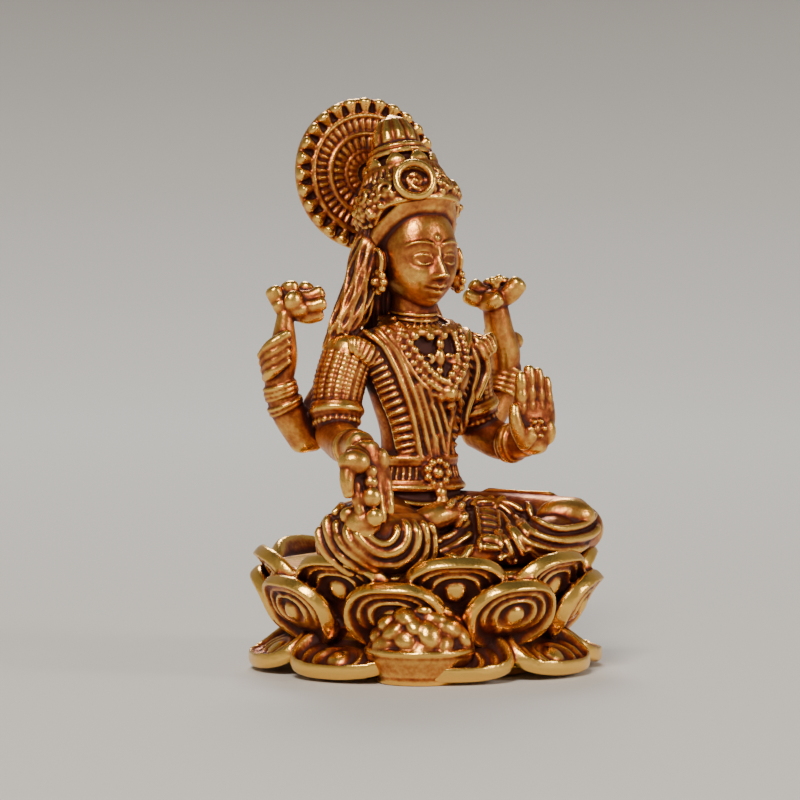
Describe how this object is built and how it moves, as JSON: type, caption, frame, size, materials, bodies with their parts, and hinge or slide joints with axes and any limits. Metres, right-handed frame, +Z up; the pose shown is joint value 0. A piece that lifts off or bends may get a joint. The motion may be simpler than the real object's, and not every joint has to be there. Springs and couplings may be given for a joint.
{
  "type": "seated goddess figure",
  "caption": "Small brass figure of four-armed Lakshmi, cross-legged on a two-tier lotus with a bowl of coins, a halo behind her crown, cast in one piece.",
  "frame": {"origin": "centre of the lotus seat's underside, on the surface that the figure stands on", "axes": "+Z up; she faces -Y; her left hand is on the +X side"},
  "size_m": [0.0656, 0.0656, 0.1047],
  "materials": {
    "antique_brass": "antique gold lacquer rubbed bright on the high places, dark red-brown patina in the recesses"
  },
  "bodies": {
    "root": {"lakshmi_figure": "antique_brass"}
  },
  "joints": []
}
